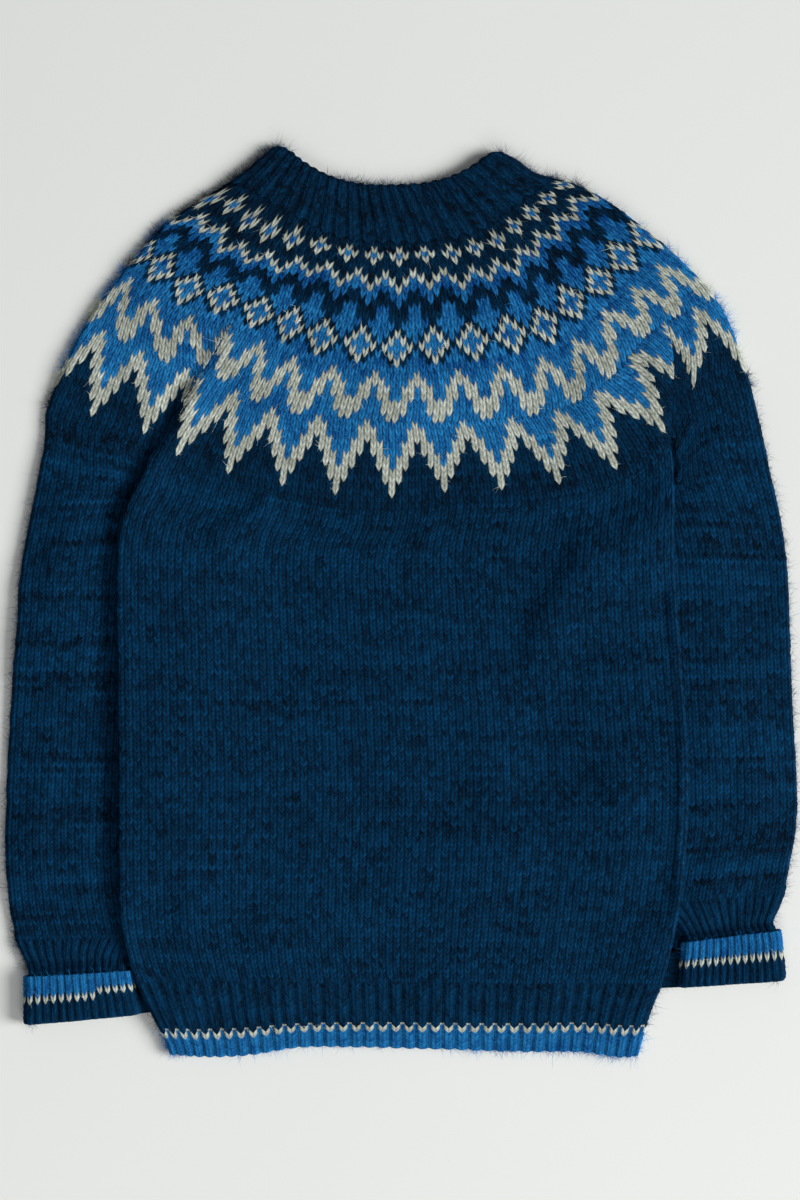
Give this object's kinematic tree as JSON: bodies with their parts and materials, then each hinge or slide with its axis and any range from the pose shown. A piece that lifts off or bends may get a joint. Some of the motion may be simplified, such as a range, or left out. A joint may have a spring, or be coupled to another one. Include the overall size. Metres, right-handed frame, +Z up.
{
  "type": "fair isle sweater",
  "caption": "Round-yoke stranded-knit pullover laid flat, ribbed neckband and hem, turned-up ribbed cuffs.",
  "frame": {"origin": "middle of the footprint, on the surface that the sweater lies on", "axes": "+Z up from the surface, +Y from the hem to the neck, +X to the right as seen from above with the neck at the top"},
  "size_m": [0.6162, 0.7114, 0.0163],
  "materials": {
    "navy_wool": "heathered navy stockinette in soft, slightly hairy wool",
    "patterned_wool": "stranded knitting in royal blue, cream and dark navy wool",
    "rib_wool": "dark navy ribbing with a cream and a royal blue stripe"
  },
  "bodies": {
    "root": {"body": "navy_wool", "yoke": "patterned_wool", "neckband": "rib_wool", "hem_rib": "rib_wool", "sleeve_left": "navy_wool", "sleeve_right": "navy_wool", "cuff_left": "rib_wool", "cuff_right": "rib_wool"}
  },
  "joints": []
}
